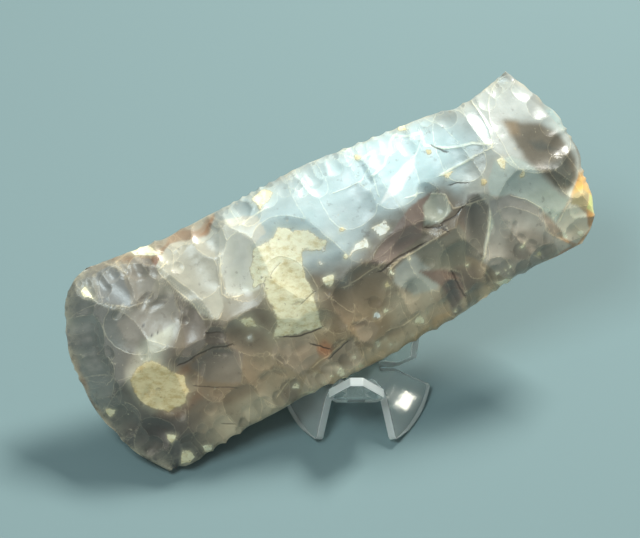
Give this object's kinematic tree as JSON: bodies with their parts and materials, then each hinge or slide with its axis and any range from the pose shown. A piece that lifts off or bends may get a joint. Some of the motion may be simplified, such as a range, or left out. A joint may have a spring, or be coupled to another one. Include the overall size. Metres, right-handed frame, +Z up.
{
  "type": "knapped flint axe head on display stand",
  "caption": "Long knapped flint axe head with a convex cutting end, resting tilted on a clear acrylic stand with bent legs and prongs.",
  "frame": {"origin": "middle of the whole part in plan, on the table plane", "axes": "+X towards the butt end of the axe, +Z up, -Y towards the viewer who faces the axe"},
  "size_m": [0.1658, 0.0928, 0.0861],
  "materials": {
    "flint": "satin",
    "clear_acrylic": "gloss"
  },
  "bodies": {
    "root": {"flint_axe": "flint", "acrylic_stand": "clear_acrylic"}
  },
  "joints": []
}
